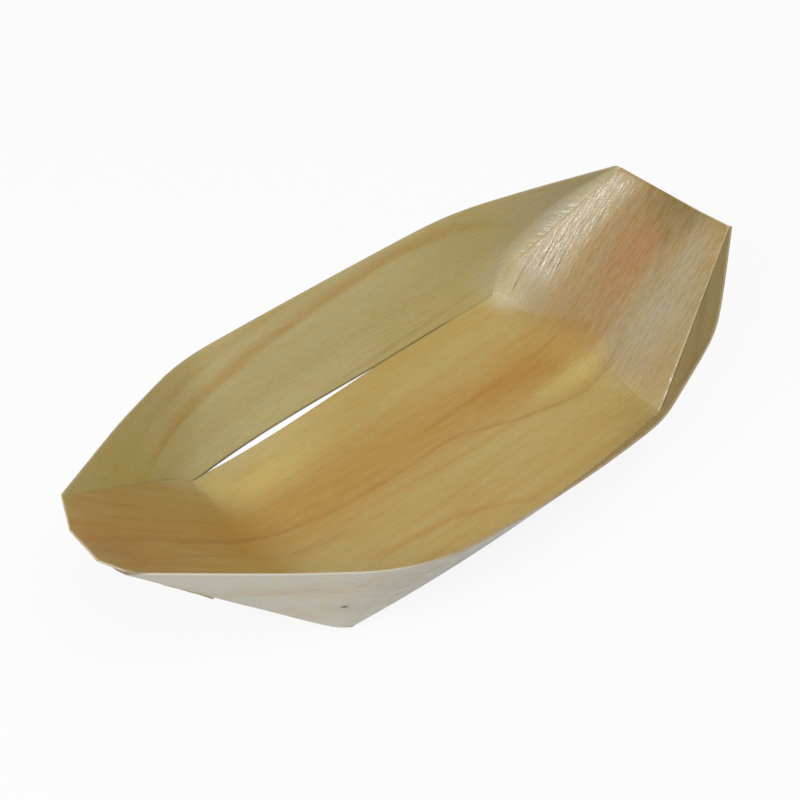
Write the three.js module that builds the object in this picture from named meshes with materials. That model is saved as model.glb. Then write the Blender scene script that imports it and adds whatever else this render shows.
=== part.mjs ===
// Disposable serving boat of pine veneer, in millimetres, +Z up.
// The origin is the middle of the flat bottom's underside. +X points to the bow, +Y to port.
// One strip makes the bottom and both upturned ends. Two more make the sides, and their ends
// wrap behind the upturned ends, where dabs of glue hold the laps together.

import * as THREE from 'three';

// Veneer and the laps at the ends
const VENEER = 0.6;
const LAP_GAP = 0.45;
const GLUE_CLEARANCE = 0.1;
const LAYER = VENEER + LAP_GAP;

// The true shape, before hand folding puts it a little out
const BOTTOM_LENGTH = 130;
const BOTTOM_WIDTH = 76;
const WALL_RISE = 30;
const WALL_FLARE = 16.5;
const WALL_BEND_SPACING = 99;
const END_REACH = 43;
const END_RISE = 46;
const END_RIM_WIDTH = 40;

// The upturned ends: soft bends across the middle, crisp at the corners
const BEND_SOFT_MIDDLE = 13;
const BEND_SOFT_EDGE = 1.2;
const BEND_SOFT_POWER = 1.25;
const SHOULDER = 8.5;
const SHOULDER_SOFT = 3;

// The margin of an upturned end curls in where the side strip presses behind it
const CURL_FROM = 0.58;
const CURL_POWER = 1.5;
const CURL_RISE = 0.3;
const CURL_EASE = 0.75;

// The side strips: creases, clearances and the slit along the bottom
const CREASE_SOFT_FOOT = 1.4;
const WRAP_SOFT = 0.65;
const WRAP_CLEARANCE = { foot: 1.1, top: 1.8 };
const SLIT_GAP = 0.3;
const FOOT_LIFT = 0.25;
const CORNER_FOOT = 1.6;
const BELLY_SOFTNESS = 0.2;
const MAX_ROUNDING = 0.45;

// Where each wrapped end stops on the upturned end, as shares of its height and half width
const INNER_FLAP = { creaseTop: 0.99, foot: [0.44, -0.06], top: [0.85, -0.1] };
const OUTER_FLAP = { creaseTop: 1, foot: [0.635, -0.98], top: [0.8, -0.86] };
const STERN_LAP_RISE = 0.038;
const BOW_LAP_RISE = 0.015;
const CREASE_FOOT = 0.03;
const OUTER_STEP = { start: 0.8, end: 0.3 };

// Glue dabs: half sizes along and across the rim, and places on the upturned end
const DAB = { across: 7.5, up: 5 };
const INNER_DAB = { up: 0.7, across: 0.5 };
const OUTER_DAB = { up: 0.66, across: 0.3 };

// How far each hand-folded corner sits from the true shape, the swell of its corner panel, how
// softly the side's crease turns at the rim, how far the end's margin curls in, and how far the
// wrapped strip stands off that margin half way up
const CORNERS = {
  sternPort: {
    fold: [-0.5, -3, 0],
    bend: [-2.2, 0, -0.5],
    tip: [0.6, -3.2, -1.3],
    belly: 1.4,
    soft: 12,
    curl: 0,
    standOff: 0,
  },
  sternStarboard: {
    fold: [6, -0.5, 0],
    bend: [2.8, 0.4, 1.4],
    tip: [-2, 6.2, 2],
    belly: 0.8,
    soft: 17,
    curl: 0,
    standOff: 0,
  },
  bowPort: {
    fold: [-0.5, 1.3, 0],
    bend: [5.7, -1.8, 3],
    tip: [-3, 1.8, -0.6],
    belly: 1.2,
    soft: 14,
    curl: 3.6,
    standOff: 3.5,
  },
  bowStarboard: {
    fold: [0.6, -0.9, 0],
    bend: [-4.8, -0.8, -3.3],
    tip: [-0.4, -0.3, -0.5],
    belly: 6.2,
    soft: 6,
    curl: 0.6,
    standOff: 0,
  },
};
const STERN_RIM_BULGE = 4.4;
const BOW_RIM_BULGE = 0.4;
const RIM_BULGE_POWER = 2.6;

// The slits follow the grain, so they bow, and each stands open towards one end
const PORT_SLIT = { bow: 0.5, rimBow: 0.6, opening: 2.2 };
const STARBOARD_SLIT = { bow: 3.3, rimBow: 2.6, opening: 0 };
const SLIT_OPEN = { from: 0.035, to: 0.6 };
const SLIT_SKEW = { rise: 0.9, fall: 1.5 };
const SLIT_EDGE_POWER = 3;

// Facets along and across the strips
const BOTTOM_FACETS = { across: 18, tongue: 8, bend: 5, flat: 14 };
const SIDE_FACETS = { height: 10, flap: 10, crease: 5, corner: 6, wall: 14 };
const DAB_FACETS = 6;
const NORMAL_STEP = 0.01;

// Colours and finish
const INNER_WOOD = 0xac9462;
const OUTER_WOOD = 0xb8b09b;
const GLUE = 0xd9cfae;
const WOOD_ROUGHNESS = 0.6;
const GLUE_ROUGHNESS = 0.35;

const STERN = -1;
const BOW = 1;
const STARBOARD = -1;
const PORT = 1;

const { lerp, clamp, smoothstep } = THREE.MathUtils;

// One corner of the boat: the bottom's corner, the side rim's bend and the end rim's tip
function corner(end, side, hand) {
  const place = (x, y, z, shift) => new THREE.Vector3(end * x, side * y, z).add(new THREE.Vector3(...shift));
  const halfLength = BOTTOM_LENGTH / 2;
  const halfWidth = BOTTOM_WIDTH / 2;
  return {
    fold: place(halfLength, halfWidth, VENEER, hand.fold),
    bend: place(WALL_BEND_SPACING / 2, halfWidth + WALL_FLARE, WALL_RISE, hand.bend),
    tip: place(halfLength + END_REACH, END_RIM_WIDTH / 2, END_RISE, hand.tip),
    belly: hand.belly,
    soft: hand.soft,
    curl: hand.curl,
    standOff: hand.standOff,
  };
}

const corners = {
  [STERN]: {
    [PORT]: corner(STERN, PORT, CORNERS.sternPort),
    [STARBOARD]: corner(STERN, STARBOARD, CORNERS.sternStarboard),
  },
  [BOW]: {
    [PORT]: corner(BOW, PORT, CORNERS.bowPort),
    [STARBOARD]: corner(BOW, STARBOARD, CORNERS.bowStarboard),
  },
};
const rimBulge = { [STERN]: STERN_RIM_BULGE, [BOW]: BOW_RIM_BULGE };
const lapRise = { [STERN]: STERN_LAP_RISE, [BOW]: BOW_LAP_RISE };
const slits = { [PORT]: PORT_SLIT, [STARBOARD]: STARBOARD_SLIT };

// Points across an end: its fold line and its rim, from starboard (-1) to port (+1)
function foldPoint(end, across) {
  const { [STARBOARD]: near, [PORT]: far } = corners[end];
  return new THREE.Vector3().lerpVectors(near.fold, far.fold, (across + 1) / 2);
}

function rimPoint(end, across) {
  const { [STARBOARD]: near, [PORT]: far } = corners[end];
  const point = new THREE.Vector3().lerpVectors(near.tip, far.tip, (across + 1) / 2);
  point.x += end * rimBulge[end] * (1 - Math.abs(across) ** RIM_BULGE_POWER);
  return point;
}

// Even arch, 0 at both ends and 1 in the middle
function arch(share) {
  return 1 - (2 * share - 1) ** 2;
}

// A slit's line and its opening, along the share of the bottom's length from stern to bow.
// The opening is a lens, widest where the skew puts it.
function slitBow(side, share) {
  return slits[side].bow * arch(share);
}

function slitOpening(side, share) {
  const { rise, fall } = SLIT_SKEW;
  const along = clamp((share - SLIT_OPEN.from) / (SLIT_OPEN.to - SLIT_OPEN.from), 0, 1);
  const lens = (at) => at ** rise * (1 - at) ** fall;
  return (slits[side].opening * lens(along)) / lens(rise / (rise + fall));
}

// Half length of the soft bend between the bottom and an upturned end
function bendSoftness(across) {
  const inside = Math.max(0, 1 - Math.abs(across));
  return BEND_SOFT_EDGE + (BEND_SOFT_MIDDLE - BEND_SOFT_EDGE) * inside ** BEND_SOFT_POWER;
}

function slantLength(end, across) {
  return foldPoint(end, across).distanceTo(rimPoint(end, across));
}

// The upturned end keeps the bottom's width over its shoulder and then tapers to the rim
function taper(height, slant) {
  const shoulder = SHOULDER / slant;
  const soft = SHOULDER_SOFT / slant;
  const past = height - shoulder;
  const eased = (past + Math.hypot(past, soft)) / 2;
  const eased0 = (-shoulder + Math.hypot(shoulder, soft)) / 2;
  const eased1 = (1 - shoulder + Math.hypot(1 - shoulder, soft)) / 2;
  return (eased - eased0) / (eased1 - eased0);
}

// How far an upturned end's margin is curled in, straight on beyond its edge
function curl(end, height, across) {
  const past = Math.max(0, (Math.abs(across) - CURL_FROM) / (1 - CURL_FROM));
  const lift = past < 1 ? past ** CURL_POWER : 1 + CURL_POWER * (past - 1);
  const { curl: most } = corners[end][across < 0 ? STARBOARD : PORT];
  return most * lift * smoothstep(height, 0, CURL_RISE) * (1 - CURL_EASE * height);
}

// Inner face of the bottom strip near one end. Length runs from the fold, down the bottom when
// negative and up the end when positive, with the sharp fold rounded by a quadratic curve.
function bentPoint(end, length, across) {
  const fold = foldPoint(end, across);
  const rim = rimPoint(end, across);
  const slant = fold.distanceTo(rim);
  const soft = bendSoftness(across);
  const inward = new THREE.Vector3(-end * END_RISE, 0, END_REACH).normalize();
  const sharp = (at) => {
    if (at <= 0) return fold.clone().setX(fold.x + end * at);
    const height = at / slant;
    const point = new THREE.Vector3().lerpVectors(fold, rim, height);
    point.y = lerp(fold.y, rim.y, taper(height, slant));
    return point.addScaledVector(inward, curl(end, height, across));
  };
  if (Math.abs(length) >= soft) return sharp(length);
  const curve = new THREE.QuadraticBezierCurve3(sharp(-soft), fold, sharp(soft));
  return curve.getPoint((length + soft) / (2 * soft));
}

// Inner face of an upturned end by height share, and its outward normal
function tonguePoint(end, height, across) {
  return bentPoint(end, height * slantLength(end, across), across);
}

function tongueNormal(end, height, across) {
  const above = tonguePoint(end, height + NORMAL_STEP, across);
  const below = tonguePoint(end, height - NORMAL_STEP, across);
  const port = tonguePoint(end, height, across + NORMAL_STEP);
  const starboard = tonguePoint(end, height, across - NORMAL_STEP);
  const up = above.sub(below);
  const over = port.sub(starboard);
  return over.cross(up).multiplyScalar(end).normalize();
}

// A face lying outside an upturned end, some depth below its inner face
function lappedPoint(end, height, across, depth) {
  return tonguePoint(end, height, across).addScaledVector(tongueNormal(end, height, across), depth);
}

// Closed sheet from a grid of inner points, thickened towards its outer side
function sheetGeometry(grid, thickness, turn) {
  const rows = grid.length;
  const columns = grid[0].length;
  const at = (i, j) => grid[clamp(i, 0, rows - 1)][clamp(j, 0, columns - 1)];
  const outer = grid.map((line, i) => line.map((point, j) => {
    const along = at(i + 1, j).clone().sub(at(i - 1, j));
    const over = at(i, j + 1).clone().sub(at(i, j - 1));
    return along.cross(over).multiplyScalar(turn).normalize().multiplyScalar(thickness).add(point);
  }));
  const positions = [...grid.flat(), ...outer.flat()].flatMap((point) => point.toArray());
  const index = [];
  const quad = (a, b, c, d) => (turn > 0 ? index.push(a, b, c, a, c, d) : index.push(a, c, b, a, d, c));
  const inside = (i, j) => i * columns + j;
  const outside = (i, j) => rows * columns + inside(i, j);
  for (let i = 0; i + 1 < rows; i += 1) {
    for (let j = 0; j + 1 < columns; j += 1) {
      quad(inside(i, j), inside(i, j + 1), inside(i + 1, j + 1), inside(i + 1, j));
      quad(outside(i, j), outside(i + 1, j), outside(i + 1, j + 1), outside(i, j + 1));
    }
    const last = columns - 1;
    quad(inside(i, 0), inside(i + 1, 0), outside(i + 1, 0), outside(i, 0));
    quad(inside(i + 1, last), inside(i, last), outside(i, last), outside(i + 1, last));
  }
  for (let j = 0; j + 1 < columns; j += 1) {
    const last = rows - 1;
    quad(inside(0, j + 1), inside(0, j), outside(0, j), outside(0, j + 1));
    quad(inside(last, j), inside(last, j + 1), outside(last, j + 1), outside(last, j));
  }
  const geometry = new THREE.BufferGeometry();
  geometry.setAttribute('position', new THREE.Float32BufferAttribute(positions, 3));
  geometry.setIndex(index);
  geometry.computeVertexNormals();
  return geometry;
}

const steps = (count) => Array.from({ length: count + 1 }, (_, i) => i / count);

// How far the slit's bow and opening move the bottom, most at its two long edges
function slitEdge(across, share) {
  const side = across < 0 ? STARBOARD : PORT;
  const shift = slitBow(side, share) - slitOpening(side, share) / 2;
  return across * Math.abs(across) ** SLIT_EDGE_POWER * shift;
}

// Bottom strip: from the stern's rim, along the flat bottom, to the bow's rim
function bottomStrip() {
  const endColumn = (end, across) => {
    const soft = bendSoftness(across);
    const rim = slantLength(end, across);
    const tongue = steps(BOTTOM_FACETS.tongue).map((t) => lerp(rim, soft, t));
    const bend = steps(BOTTOM_FACETS.bend).slice(1).map((t) => lerp(soft, -soft, t));
    return [...tongue, ...bend].map((length) => bentPoint(end, length, across));
  };
  const columns = steps(BOTTOM_FACETS.across).map((share) => {
    const across = lerp(STARBOARD, PORT, share);
    const stern = endColumn(STERN, across);
    const bow = endColumn(BOW, across).reverse();
    const flat = steps(BOTTOM_FACETS.flat).slice(1, -1);
    const middle = flat.map((t) => {
      const point = new THREE.Vector3().lerpVectors(stern.at(-1), bow[0], t);
      point.y += slitEdge(across, t);
      return point;
    });
    return [...stern, ...middle, ...bow];
  });
  return sheetGeometry(columns, VENEER, 1);
}

// How far a strip's crease stands off the edge of the upturned end, by height share
function wrapClearance(end, side, rise) {
  return lerp(WRAP_CLEARANCE.foot, WRAP_CLEARANCE.top, rise) + corners[end][side].standOff * arch(rise);
}

// One wrapped end of a side strip: its crease beside the upturned end, and its inner face
function wrappedEnd(end, side, isOuter) {
  const stop = isOuter ? OUTER_FLAP : INNER_FLAP;
  const creaseTop = stop.creaseTop + (isOuter ? lapRise[end] : 0);
  const edge = (height, rise) => {
    const halfWidth = Math.abs(tonguePoint(end, height, side).y - tonguePoint(end, height, 0).y);
    return 1 + wrapClearance(end, side, rise) / halfWidth;
  };
  const depth = (across) => {
    if (!isOuter) return LAYER;
    return LAYER * (2 - smoothstep(across, OUTER_STEP.end, OUTER_STEP.start));
  };
  return (rise, share) => {
    const creaseHeight = lerp(CREASE_FOOT, creaseTop, rise);
    const stopHeight = lerp(stop.foot[0], stop.top[0], rise);
    const stopAcross = lerp(stop.foot[1], stop.top[1], rise);
    const height = lerp(creaseHeight, stopHeight, share);
    const across = lerp(edge(creaseHeight, rise), stopAcross, share);
    return lappedPoint(end, height, side * across, depth(across));
  };
}

// Rounded peak used for the swell of a corner panel, 0 at both ends and 1 in the middle
function peak(share) {
  const rounded = (x) => Math.hypot(x, BELLY_SOFTNESS);
  return (rounded(1) - rounded(2 * share - 1)) / (rounded(1) - BELLY_SOFTNESS);
}

// Side strip at one height share, as five runs from the stern's wrapped end to the bow's
function sideRuns(side, sternEnd, bowEnd, rise) {
  const stern = corners[STERN][side];
  const bow = corners[BOW][side];
  const foot = (place, towards) => {
    const inward = Math.sign(towards.fold.x - place.fold.x) * CORNER_FOOT;
    return new THREE.Vector3(place.fold.x + inward, place.fold.y + side * SLIT_GAP, FOOT_LIFT);
  };
  const sternCrease = foot(stern, bow).lerp(stern.bend, rise);
  const bowCrease = foot(bow, stern).lerp(bow.bend, rise);
  const swollen = (from, to, swell) => (share) => {
    const point = new THREE.Vector3().lerpVectors(from, to, share);
    point.y += side * swell(share);
    return point;
  };
  const footBow = (share) => slitBow(side, share) + slitOpening(side, share) / 2;
  const rimBow = (share) => slits[side].rimBow * arch(share);
  return [
    (share) => sternEnd(rise, 1 - share),
    swollen(sternEnd(rise, 0), sternCrease, (share) => stern.belly * rise * peak(share)),
    swollen(sternCrease, bowCrease, (share) => lerp(footBow(share), rimBow(share), rise)),
    swollen(bowCrease, bowEnd(rise, 0), (share) => bow.belly * rise * peak(share)),
    (share) => bowEnd(rise, share),
  ];
}

// Points along joined runs, with every corner between two runs rounded by a quadratic curve
function roundedRuns(runs, softness, facets) {
  const lengths = runs.map((run) => run(0).distanceTo(run(1)));
  const trim = (i, corner) => Math.min(MAX_ROUNDING, softness[corner] / lengths[i]);
  const points = [];
  runs.forEach((run, i) => {
    const start = i === 0 ? 0 : trim(i, i - 1);
    const stop = i === runs.length - 1 ? 1 : 1 - trim(i, i);
    points.push(...steps(facets[i]).map((t) => run(lerp(start, stop, t))));
    if (i === runs.length - 1) return;
    const next = runs[i + 1](trim(i + 1, i));
    const curve = new THREE.QuadraticBezierCurve3(points.at(-1).clone(), run(1), next);
    points.push(...steps(SIDE_FACETS.crease).slice(1, -1).map((t) => curve.getPoint(t)));
  });
  return points;
}

function sideStrip(side, outerEnd) {
  const sternEnd = wrappedEnd(STERN, side, outerEnd === STERN);
  const bowEnd = wrappedEnd(BOW, side, outerEnd === BOW);
  const { flap, corner: panel, wall } = SIDE_FACETS;
  const facets = [flap, panel, wall, panel, flap];
  const rows = steps(SIDE_FACETS.height).map((rise) => {
    const crease = (end) => lerp(CREASE_SOFT_FOOT, corners[end][side].soft, rise);
    const wrap = (end) => WRAP_SOFT * wrapClearance(end, side, rise);
    const softness = [wrap(STERN), crease(STERN), crease(BOW), wrap(BOW)];
    return roundedRuns(sideRuns(side, sternEnd, bowEnd, rise), softness, facets);
  });
  return sheetGeometry(rows, VENEER, side);
}

// Pressed dab of glue in the lap outside a given layer of veneer, round as it spreads
function glueDab(end, side, place, layer) {
  const slant = slantLength(end, 0);
  const halfRim = Math.abs(tonguePoint(end, place.up, 1).y - tonguePoint(end, place.up, -1).y) / 2;
  const depth = layer * LAYER + VENEER + GLUE_CLEARANCE;
  const rows = steps(DAB_FACETS).map((i) => steps(DAB_FACETS).map((j) => {
    const u = 2 * i - 1;
    const v = 2 * j - 1;
    const up = place.up + (v * Math.sqrt(1 - u * u / 2) * DAB.up) / slant;
    const across = side * place.across + (u * Math.sqrt(1 - v * v / 2) * DAB.across) / halfRim;
    return lappedPoint(end, up, across, depth);
  }));
  return sheetGeometry(rows, LAP_GAP - 2 * GLUE_CLEARANCE, end);
}

const boat = new THREE.Group();

function addPiece(name, geometry, colour, roughness) {
  const material = new THREE.MeshStandardMaterial({ color: colour, roughness, metalness: 0 });
  const mesh = new THREE.Mesh(geometry, material);
  mesh.name = name;
  boat.add(mesh);
}

addPiece('bottom_strip', bottomStrip(), INNER_WOOD, WOOD_ROUGHNESS);
addPiece('port_side_strip', sideStrip(PORT, STERN), INNER_WOOD, WOOD_ROUGHNESS);
addPiece('starboard_side_strip', sideStrip(STARBOARD, BOW), OUTER_WOOD, WOOD_ROUGHNESS);
addPiece('stern_inner_glue', glueDab(STERN, STARBOARD, INNER_DAB, 0), GLUE, GLUE_ROUGHNESS);
addPiece('stern_outer_glue', glueDab(STERN, STARBOARD, OUTER_DAB, 1), GLUE, GLUE_ROUGHNESS);
addPiece('bow_inner_glue', glueDab(BOW, PORT, INNER_DAB, 0), GLUE, GLUE_ROUGHNESS);
addPiece('bow_outer_glue', glueDab(BOW, PORT, OUTER_DAB, 1), GLUE, GLUE_ROUGHNESS);

export default boat;
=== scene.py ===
import math

import bpy
from mathutils import Matrix, Vector, noise


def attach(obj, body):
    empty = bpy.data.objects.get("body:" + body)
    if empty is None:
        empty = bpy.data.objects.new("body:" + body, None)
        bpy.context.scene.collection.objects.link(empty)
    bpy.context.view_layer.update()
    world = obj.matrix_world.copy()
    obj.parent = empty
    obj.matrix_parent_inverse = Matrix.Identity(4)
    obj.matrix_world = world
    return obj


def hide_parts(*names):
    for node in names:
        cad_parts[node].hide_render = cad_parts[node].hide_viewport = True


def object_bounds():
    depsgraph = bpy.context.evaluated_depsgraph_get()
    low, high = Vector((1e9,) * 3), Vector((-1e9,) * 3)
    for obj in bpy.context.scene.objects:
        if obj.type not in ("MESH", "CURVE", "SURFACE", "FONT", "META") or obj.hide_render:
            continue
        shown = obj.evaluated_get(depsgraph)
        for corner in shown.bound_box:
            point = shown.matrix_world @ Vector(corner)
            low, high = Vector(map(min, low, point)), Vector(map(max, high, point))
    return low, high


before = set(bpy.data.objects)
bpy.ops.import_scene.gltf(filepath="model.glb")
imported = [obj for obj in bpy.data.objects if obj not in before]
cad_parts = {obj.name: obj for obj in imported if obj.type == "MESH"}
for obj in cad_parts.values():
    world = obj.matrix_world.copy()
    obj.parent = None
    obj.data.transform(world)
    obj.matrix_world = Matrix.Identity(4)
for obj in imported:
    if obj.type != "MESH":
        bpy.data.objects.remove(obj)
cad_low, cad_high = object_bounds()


# Bottom strip: one strip of pine veneer shaved thin, with the grain along its length. Its tapered ends
# are bent up while damp, softly across the middle and crisply at the corners, and stay up by themselves.
MM = 0.001
VENEER = 0.6
BOTTOM_LENGTH = 130.0
BOTTOM_WIDTH = 76.0
END_REACH = 43.0
END_RISE = 46.0
END_RIM_WIDTH = 40.0
STERN, BOW = -1, 1
STARBOARD, PORT = -1, 1
ENDS = (STERN, BOW)
SIDES = (STARBOARD, PORT)

# half the length of a bend, long in the middle and short at the edges, where it also kinks
BEND_SOFT_MIDDLE = 13.0
BEND_SOFT_EDGE = 1.2
BEND_SOFT_POWER = 6.0
BEND_KINK = 0.5
BEND_KINK_FROM = (0.25, 0.7)

# how far up each edge an upturned end stays full width before it tapers, and how softly it turns
SHOULDER = {(STERN, PORT): 8.5, (STERN, STARBOARD): 8.5, (BOW, PORT): 8.5, (BOW, STARBOARD): 2.0}
SHOULDER_SOFT = 3.0

# how far hand folding put each corner of the bottom, and each tip of the end rims, out of true
FOLD_SHIFT = {
    (STERN, PORT): (-0.5, -3.0, 0.0),
    (STERN, STARBOARD): (6.0, -0.5, 0.0),
    (BOW, PORT): (-0.5, 1.3, 0.0),
    (BOW, STARBOARD): (0.6, -0.9, 0.0),
}
TIP_SHIFT = {
    (STERN, PORT): (-0.5, -2.8, -1.3),
    (STERN, STARBOARD): (-1.4, 3.8, 2.0),
    (BOW, PORT): (-3.0, 1.8, -0.4),
    (BOW, STARBOARD): (0.2, -2.4, -0.5),
}

# the rims are cut in straight facets: how far each corner of the cut stands out, at its place across
RIM_BULGE = {
    STERN: [(-1.0, 0.0), (-0.5625, 3.3), (0.25, 3.9), (1.0, 0.0)],
    BOW: [(-1.0, 0.0), (-0.5, -0.5), (1.0, 0.0)],
}

# the margins of an upturned end curl in where the side strip presses behind them
CURL = {(STERN, PORT): 0.0, (STERN, STARBOARD): 0.0, (BOW, PORT): 3.6, (BOW, STARBOARD): 0.6}
CURL_FROM = 0.3
CURL_POWER = 1.8
CURL_RISE = 0.26
CURL_EASE = 0.75

# the slits beside the bottom follow the grain: how far they bow out, and how wide and where they gape
SLIT_BOW = {PORT: 0.5, STARBOARD: 3.3}
SLIT_OPENING = {PORT: 2.4, STARBOARD: 0.0}
SLIT_FROM = 0.035
SLIT_TO = 0.60
SLIT_SKEW = (0.9, 1.5)
SLIT_EDGE_POWER = 3

# facets of the blank before it is bent
BOTTOM_ACROSS = 64
TONGUE_FACETS = 40
BEND_FACETS = 16
FLAT_FACETS = 72

FOLDS = {}
TIPS = {}
for end in ENDS:
    for side in SIDES:
        true_fold = Vector((end * BOTTOM_LENGTH / 2, side * BOTTOM_WIDTH / 2, VENEER))
        true_tip = Vector((end * (BOTTOM_LENGTH / 2 + END_REACH), side * END_RIM_WIDTH / 2, END_RISE))
        FOLDS[end, side] = true_fold + Vector(FOLD_SHIFT[end, side])
        TIPS[end, side] = true_tip + Vector(TIP_SHIFT[end, side])


def lerp(start, stop, share):
    return start + (stop - start) * share


def steps(count):
    return [i / count for i in range(count + 1)]


def quadratic(start, middle, stop, share):
    return start * (1 - share) ** 2 + middle * (2 * share * (1 - share)) + stop * share ** 2


def smooth(value, low, high):
    share = min(1.0, max(0.0, (value - low) / (high - low)))
    return share * share * (3 - 2 * share)


def arch(share):
    return 1 - (2 * share - 1) ** 2


def fold_point(end, across):
    return FOLDS[end, STARBOARD].lerp(FOLDS[end, PORT], (across + 1) / 2)


def rim_point(end, across):
    point = TIPS[end, STARBOARD].lerp(TIPS[end, PORT], (across + 1) / 2)
    facets = list(zip(RIM_BULGE[end], RIM_BULGE[end][1:]))
    (start, low), (stop, high) = next((facet for facet in facets if across <= facet[1][0]), facets[-1])
    point.x += end * lerp(low, high, (across - start) / (stop - start))
    return point


def slit_bow(side, share):
    return SLIT_BOW[side] * arch(share)


def slit_opening(side, share):
    along = min(1.0, max(0.0, (share - SLIT_FROM) / (SLIT_TO - SLIT_FROM)))
    rise, fall = SLIT_SKEW
    widest = rise / (rise + fall)
    full = widest ** rise * (1 - widest) ** fall
    return SLIT_OPENING[side] * along ** rise * (1 - along) ** fall / full


def bend_softness(across):
    middle = max(0.0, 1 - across ** 2) ** BEND_SOFT_POWER
    return BEND_SOFT_EDGE + (BEND_SOFT_MIDDLE - BEND_SOFT_EDGE) * middle


def slant_length(end, across):
    return (rim_point(end, across) - fold_point(end, across)).length


def taper(end, height, across, slant):
    shoulder = lerp(SHOULDER[end, STARBOARD], SHOULDER[end, PORT], (across + 1) / 2) / slant
    soft = SHOULDER_SOFT / slant
    eased = [(past + math.hypot(past, soft)) / 2 for past in (height - shoulder, -shoulder, 1 - shoulder)]
    return (eased[0] - eased[1]) / (eased[2] - eased[1])


def curl(end, height, across):
    past = max(0.0, (abs(across) - CURL_FROM) / (1 - CURL_FROM))
    lift = past ** CURL_POWER if past < 1 else 1 + CURL_POWER * (past - 1)
    side = STARBOARD if across < 0 else PORT
    return CURL[end, side] * lift * smooth(height, 0, CURL_RISE) * (1 - CURL_EASE * height)


def bent_point(end, length, across):
    """Inner face of the bottom strip at one length up from a fold, or in from it where that is negative."""
    fold = fold_point(end, across)
    rim = rim_point(end, across)
    slant = (rim - fold).length
    soft = bend_softness(across)
    inward = Vector((-end * END_RISE, 0.0, END_REACH)).normalized()

    def sharp(at):
        if at <= 0:
            return Vector((fold.x + end * at, fold.y, fold.z))
        point = fold.lerp(rim, at / slant)
        point.y = lerp(fold.y, rim.y, taper(end, at / slant, across, slant))
        return point + inward * curl(end, at / slant, across)

    if abs(length) >= soft:
        return sharp(length)
    kink = BEND_KINK * smooth(abs(across), *BEND_KINK_FROM)
    middle = fold.lerp(sharp(soft), kink)
    return quadratic(sharp(-soft), middle, sharp(soft), (length + soft) / (2 * soft))


def bottom_column(across):
    """Inner face of the bottom strip along its length at one place across it, stern rim to bow rim."""
    ends = {}
    for end in ENDS:
        soft = bend_softness(across)
        rim = slant_length(end, across)
        lengths = [lerp(rim, soft, t) for t in steps(TONGUE_FACETS)]
        lengths += [lerp(soft, -soft, t) for t in steps(BEND_FACETS)[1:]]
        ends[end] = [bent_point(end, length, across) for length in lengths]
    ends[BOW].reverse()
    side = STARBOARD if across < 0 else PORT
    flat = []
    for share in steps(FLAT_FACETS)[1:-1]:
        point = ends[STERN][-1].lerp(ends[BOW][0], share)
        shift = slit_bow(side, share) - slit_opening(side, share) / 2
        point.y += across * abs(across) ** SLIT_EDGE_POWER * shift
        flat.append(point)
    return ends[STERN] + flat + ends[BOW]


# the veneer is never quite flat: it swells and sinks a little between the fibres
WAVE_HEIGHT = 0.08
WAVES_PER_MM = (0.045, 0.11)


def bend_blank(name, rows, across_of):
    """Lays a flat blank of veneer, bends it to the rows of inner points, and notes the grain on it."""
    along = len(rows[0]) - 1
    over = len(rows) - 1
    middle = along // 2
    bpy.ops.object.select_all(action="DESELECT")
    bpy.ops.mesh.primitive_grid_add(x_subdivisions=along, y_subdivisions=over, size=1)
    strip = bpy.context.object
    strip.name = name
    strip.data.name = name
    lengths = []
    for row in rows:
        run = [0.0]
        for last, point in zip(row, row[1:]):
            run.append(run[-1] + (point - last).length)
        lengths.append([at - run[middle] for at in run])
    widths = []
    for j in range(along + 1):
        run = [0.0]
        for last, row in zip(rows, rows[1:]):
            run.append(run[-1] + (row[j] - last[j]).length)
        widths.append(run)
    strip.data.attributes.new("grain", "FLOAT_VECTOR", "POINT")
    strip.data.attributes.new("margin", "FLOAT", "POINT")
    grain = strip.data.attributes["grain"]
    margin = strip.data.attributes["margin"]
    places = []
    for vertex in strip.data.vertices:
        i = round((vertex.co.y + 0.5) * over)
        j = round((vertex.co.x + 0.5) * along)
        places.append((i, j))
        vertex.co = rows[i][j] * MM
        grain.data[vertex.index].vector = (lengths[i][j], across_of(i, j), 0.0)
        from_ends = min(lengths[i][j] - lengths[i][0], lengths[i][-1] - lengths[i][j])
        from_sides = min(widths[j][i], widths[j][-1] - widths[j][i])
        margin.data[vertex.index].value = min(from_ends, from_sides)
    strip.data.update()
    normals = [vertex.normal.copy() for vertex in strip.data.vertices]
    for vertex, normal, (i, j) in zip(strip.data.vertices, normals, places):
        spot = (lengths[i][j] * WAVES_PER_MM[0], across_of(i, j) * WAVES_PER_MM[1], len(name))
        vertex.co += normal * (noise.noise(Vector(spot)) * WAVE_HEIGHT * MM)
    return strip


# the soft arris of a cut edge: its width, the angle over which an edge gets it, and what shades smooth
ARRIS = 0.22
ARRIS_SEGMENTS = 3
ARRIS_OVER = math.radians(55)
SMOOTH_UNDER = math.radians(40)


def thicken(strip):
    """Gives the bent sheet its veneer thickness, with a soft arris round the cut edge."""
    bpy.ops.object.modifier_add(type="SOLIDIFY")
    solidify = strip.modifiers[-1]
    solidify.thickness = VENEER * MM
    solidify.offset = -1
    solidify.use_even_offset = True
    solidify.use_quality_normals = True
    solidify.material_offset = 1
    solidify.material_offset_rim = 2
    bpy.ops.object.modifier_apply(modifier=solidify.name)
    bpy.ops.object.modifier_add(type="BEVEL")
    arris = strip.modifiers[-1]
    arris.width = ARRIS * MM
    arris.segments = ARRIS_SEGMENTS
    arris.limit_method = "ANGLE"
    arris.angle_limit = ARRIS_OVER
    bpy.ops.object.modifier_apply(modifier=arris.name)
    bpy.ops.object.shade_smooth_by_angle(angle=SMOOTH_UNDER)


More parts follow.
